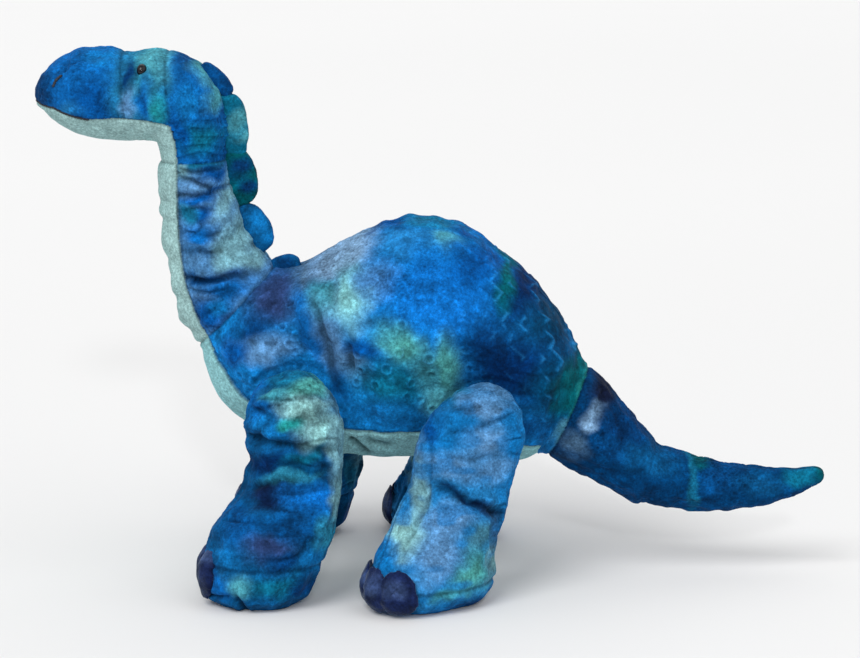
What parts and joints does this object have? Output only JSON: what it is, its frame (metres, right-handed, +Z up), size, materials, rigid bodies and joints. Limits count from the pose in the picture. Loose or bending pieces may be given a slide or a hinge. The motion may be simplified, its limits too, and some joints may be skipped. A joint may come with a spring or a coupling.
{
  "type": "stuffed toy dinosaur",
  "caption": "Plush long-necked dinosaur standing on stuffed legs that swing at the hip, with a bending neck, turning head, dorsal plates and a jointed tail.",
  "frame": {"origin": "on the floor, in the middle of the bounding box", "axes": "+Z up; the head points towards -X and the tail towards +X; -Y is the animal's left side"},
  "size_m": [0.546, 0.273, 0.369],
  "materials": {
    "dyed_plush": "short-pile plush, blotch-dyed in blue, teal, lilac, mint and navy, embossed with scales",
    "mint_plush": "plain short-pile plush in pale mint",
    "navy_plush": "plain short-pile plush in dark navy",
    "fibre_fill": "loose white polyester fibre, hidden inside the plush",
    "eye_plastic": "glossy black moulded plastic",
    "washer_plastic": "plain white moulded plastic, hidden inside the head",
    "embroidery_thread": "black polyester embroidery thread"
  },
  "bodies": {
    "torso": {"torso_left_panel": "dyed_plush", "torso_right_panel": "dyed_plush", "belly_panel": "mint_plush", "torso_stuffing": "fibre_fill", "shoulder_plate": "dyed_plush"},
    "neck": {"neck_left_panel": "dyed_plush", "neck_right_panel": "dyed_plush", "throat_panel": "mint_plush", "neck_stuffing": "fibre_fill", "neck_plate_upper": "dyed_plush", "neck_plate_lower": "dyed_plush"},
    "head": {"crown_left_panel": "dyed_plush", "crown_right_panel": "dyed_plush", "face_left_panel": "dyed_plush", "face_right_panel": "dyed_plush", "muzzle_left_panel": "dyed_plush", "muzzle_right_panel": "dyed_plush", "jaw_panel": "mint_plush", "head_stuffing": "fibre_fill", "left_eye": "eye_plastic", "right_eye": "eye_plastic", "left_eye_washer": "washer_plastic", "right_eye_washer": "washer_plastic", "mouth_stitching": "embroidery_thread", "head_plate_upper": "dyed_plush", "head_plate_lower": "dyed_plush"},
    "tail_base": {"tail_base_left_panel": "dyed_plush", "tail_base_right_panel": "dyed_plush", "tail_base_stuffing": "fibre_fill"},
    "tail_tip": {"tail_tip_left_panel": "dyed_plush", "tail_tip_right_panel": "dyed_plush", "tail_tip_stuffing": "fibre_fill"},
    "left_front_leg": {"left_front_leg_outer_panel": "dyed_plush", "left_front_leg_inner_panel": "dyed_plush", "left_front_leg_sole": "dyed_plush", "left_front_leg_stuffing": "fibre_fill", "left_front_leg_toenail_outer": "navy_plush", "left_front_leg_toenail_middle": "navy_plush", "left_front_leg_toenail_inner": "navy_plush"},
    "left_rear_leg": {"left_rear_leg_outer_panel": "dyed_plush", "left_rear_leg_inner_panel": "dyed_plush", "left_rear_leg_sole": "dyed_plush", "left_rear_leg_stuffing": "fibre_fill", "left_rear_leg_toenail_outer": "navy_plush", "left_rear_leg_toenail_middle": "navy_plush", "left_rear_leg_toenail_inner": "navy_plush"},
    "right_front_leg": {"right_front_leg_outer_panel": "dyed_plush", "right_front_leg_inner_panel": "dyed_plush", "right_front_leg_sole": "dyed_plush", "right_front_leg_stuffing": "fibre_fill", "right_front_leg_toenail_outer": "navy_plush", "right_front_leg_toenail_middle": "navy_plush", "right_front_leg_toenail_inner": "navy_plush"},
    "right_rear_leg": {"right_rear_leg_outer_panel": "dyed_plush", "right_rear_leg_inner_panel": "dyed_plush", "right_rear_leg_sole": "dyed_plush", "right_rear_leg_stuffing": "fibre_fill", "right_rear_leg_toenail_outer": "navy_plush", "right_rear_leg_toenail_middle": "navy_plush", "right_rear_leg_toenail_inner": "navy_plush"}
  },
  "joints": [
    {"name": "neck_bend", "type": "hinge", "parent": "torso", "child": "neck", "pos_m": [-0.1355, 0, 0.188], "axis": [0, 1, 0], "range_deg": [-15, 6]},
    {"name": "head_turn", "type": "hinge", "parent": "neck", "child": "head", "pos_m": [-0.1635, 0, 0.291], "axis": [0, 0, 1], "range_deg": [-35, 35]},
    {"name": "tail_swing", "type": "hinge", "parent": "torso", "child": "tail_base", "pos_m": [0.0966, 0, 0.1157], "axis": [0.4147, 0, 0.91], "range_deg": [-22, 22]},
    {"name": "tail_curl", "type": "hinge", "parent": "tail_base", "child": "tail_tip", "pos_m": [0.157, 0, 0.068], "axis": [0, 1, 0], "range_deg": [-18, 18]},
    {"name": "left_front_leg_swing", "type": "hinge", "parent": "torso", "child": "left_front_leg", "pos_m": [-0.091, -0.05, 0.12], "axis": [0, 1, 0], "range_deg": [-5, 25]},
    {"name": "left_rear_leg_swing", "type": "hinge", "parent": "torso", "child": "left_rear_leg", "pos_m": [0.043, -0.05, 0.111], "axis": [0, 1, 0], "range_deg": [-25, 5]},
    {"name": "right_front_leg_swing", "type": "hinge", "parent": "torso", "child": "right_front_leg", "pos_m": [-0.091, 0.05, 0.12], "axis": [0, 1, 0], "range_deg": [-5, 25]},
    {"name": "right_rear_leg_swing", "type": "hinge", "parent": "torso", "child": "right_rear_leg", "pos_m": [0.043, 0.05, 0.111], "axis": [0, 1, 0], "range_deg": [-25, 5]}
  ]
}
